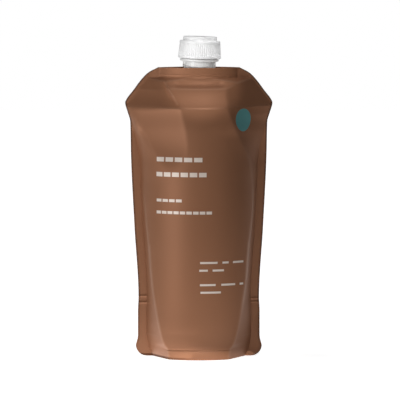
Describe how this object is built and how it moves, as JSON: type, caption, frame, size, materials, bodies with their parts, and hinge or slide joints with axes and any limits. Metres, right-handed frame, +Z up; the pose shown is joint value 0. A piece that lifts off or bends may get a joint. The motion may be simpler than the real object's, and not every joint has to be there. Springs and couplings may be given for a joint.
{
  "type": "body wash refill pouch",
  "caption": "Filled stand-up film refill pouch with a welded spout and a ribbed screw cap that unscrews and lifts off.",
  "frame": {"origin": "on the floor under the middle of the pouch's width and depth", "axes": "+Z up through the spout, -Y towards the printed front, +X to the right as the front is seen"},
  "size_m": [0.0978, 0.0572, 0.2138],
  "materials": {
    "film": "matte brown laminated film with a soft sheen along its creases, printed with a teal dot and pale bars",
    "spout_plastic": "natural white moulded plastic, satin",
    "cap_plastic": "white moulded plastic with fine grip ribs, satin",
    "liner": "pale foamed sealing disc"
  },
  "bodies": {
    "pouch": {"pouch": "film", "spout": "spout_plastic"},
    "liner": {"cap_liner": "liner"},
    "cap": {"cap": "cap_plastic"}
  },
  "joints": [
    {"name": "cap_rise", "type": "slide", "parent": "pouch", "child": "liner", "axis": [0.0332, 0, 0.9995], "range_m": [0, 0.015]},
    {"name": "cap_turn", "type": "hinge", "parent": "liner", "child": "cap", "pos_m": [0, 0, 0.186], "axis": [0.0332, 0, 0.9995], "range_deg": [0, 900]}
  ],
  "couplings": [
    {"joint": "cap_turn", "follows": "cap_rise", "rad_per_m": 1047.2}
  ]
}
